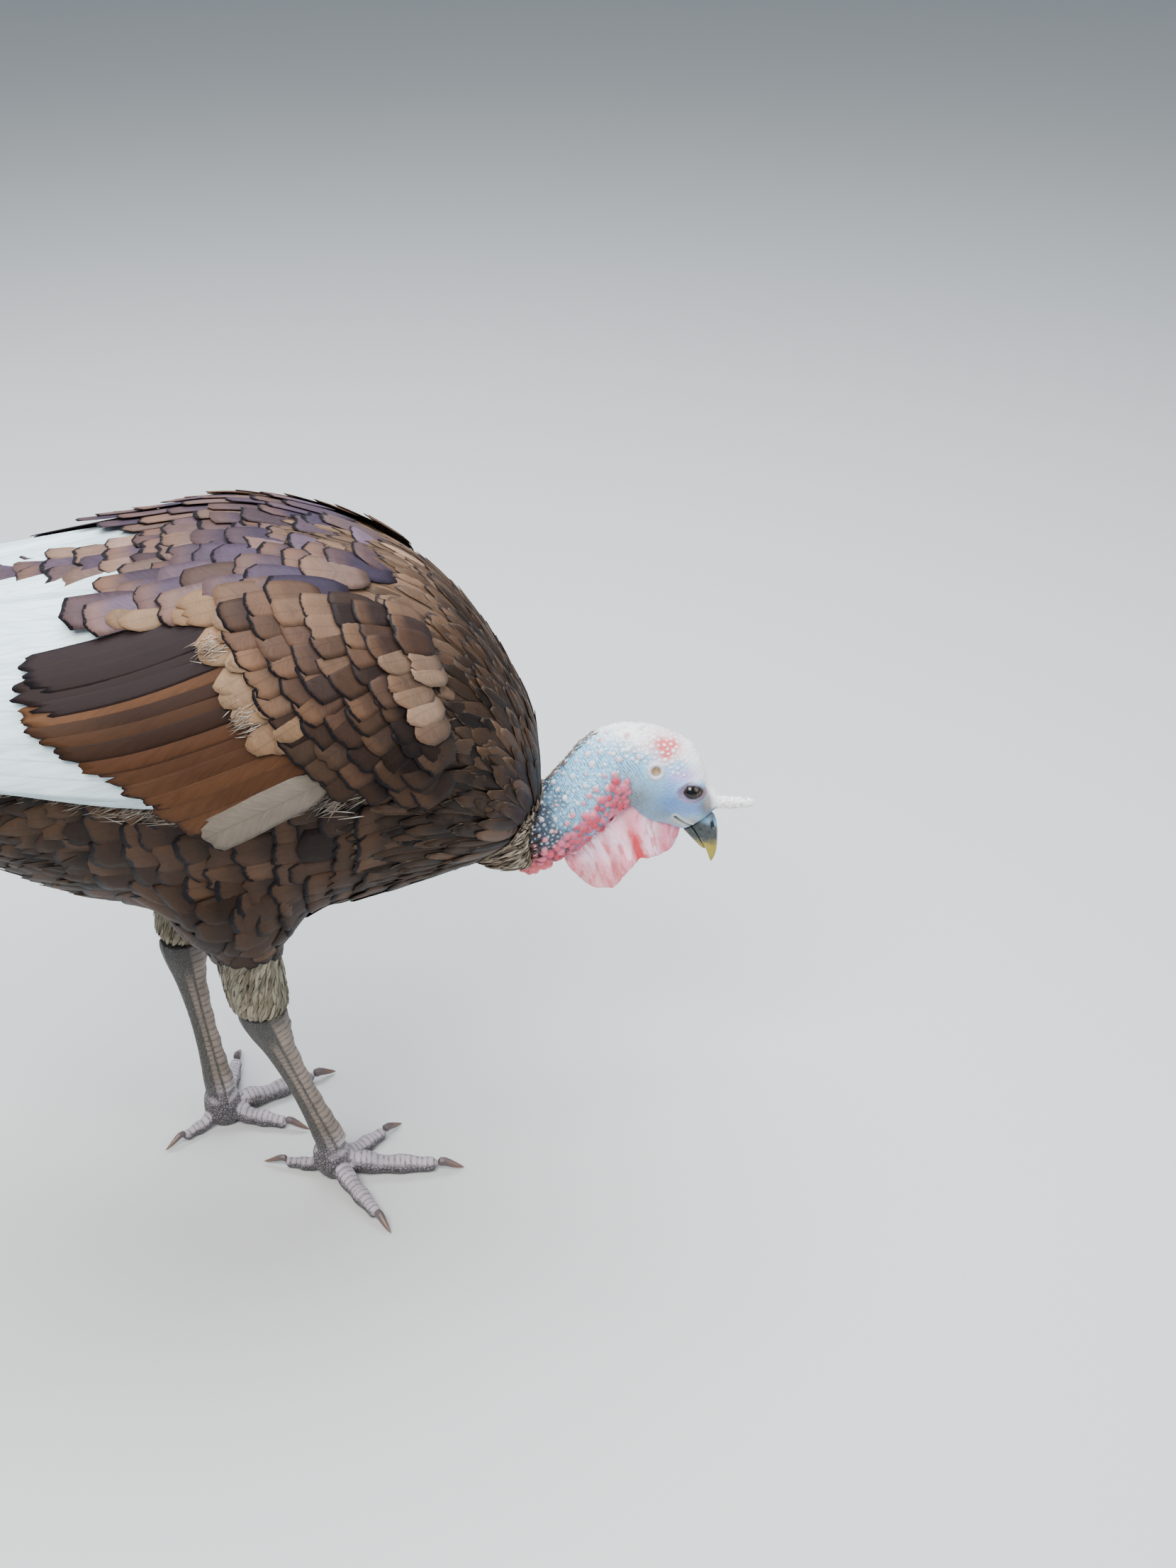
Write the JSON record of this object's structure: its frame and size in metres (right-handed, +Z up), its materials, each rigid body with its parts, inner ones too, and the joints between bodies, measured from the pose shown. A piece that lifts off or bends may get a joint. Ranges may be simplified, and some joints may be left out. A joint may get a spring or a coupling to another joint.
{
  "type": "domestic turkey model",
  "caption": "Life-size standing turkey with folded wings and tail, head lowered to feed on a bare caruncled neck.",
  "frame": {"origin": "on the floor, under the middle of the bird's bounding box", "axes": "+X towards the bill, +Y to the bird's left, +Z up"},
  "size_m": [0.9357, 0.2988, 0.4919],
  "materials": {
    "body_feathers": "brown overlapping body feathers with dark edges and a faint sheen",
    "wing_feathers": "chestnut coverts over white flight feathers",
    "tail_feathers": "white tail feathers with a soft reddish bar, brown barred coverts above",
    "bare_skin": "bare bluish white skin with pink and white caruncles",
    "wattle_skin": "thin pink folded skin",
    "eye": "wet, very dark brown",
    "horn": "yellowish horn, grey at its base",
    "leg_scales": "grey-brown scaled skin, pinkish between the scutes",
    "claw_horn": "dull brown horn"
  },
  "bodies": {
    "root": {"torso": "body_feathers", "neck_lower": "body_feathers", "neck_upper": "bare_skin", "head": "bare_skin", "bill_upper": "horn", "bill_lower": "horn", "snood": "bare_skin", "wattle": "wattle_skin", "eye_left": "eye", "eye_right": "eye", "wing_left": "wing_feathers", "wing_right": "wing_feathers", "tail": "tail_feathers", "thigh_left": "body_feathers", "shank_left": "leg_scales", "foot_left": "leg_scales", "claw_left_middle": "claw_horn", "claw_left_outer": "claw_horn", "claw_left_inner": "claw_horn", "claw_left_hind": "claw_horn", "thigh_right": "body_feathers", "shank_right": "leg_scales", "foot_right": "leg_scales", "claw_right_middle": "claw_horn", "claw_right_outer": "claw_horn", "claw_right_inner": "claw_horn", "claw_right_hind": "claw_horn"}
  },
  "joints": []
}
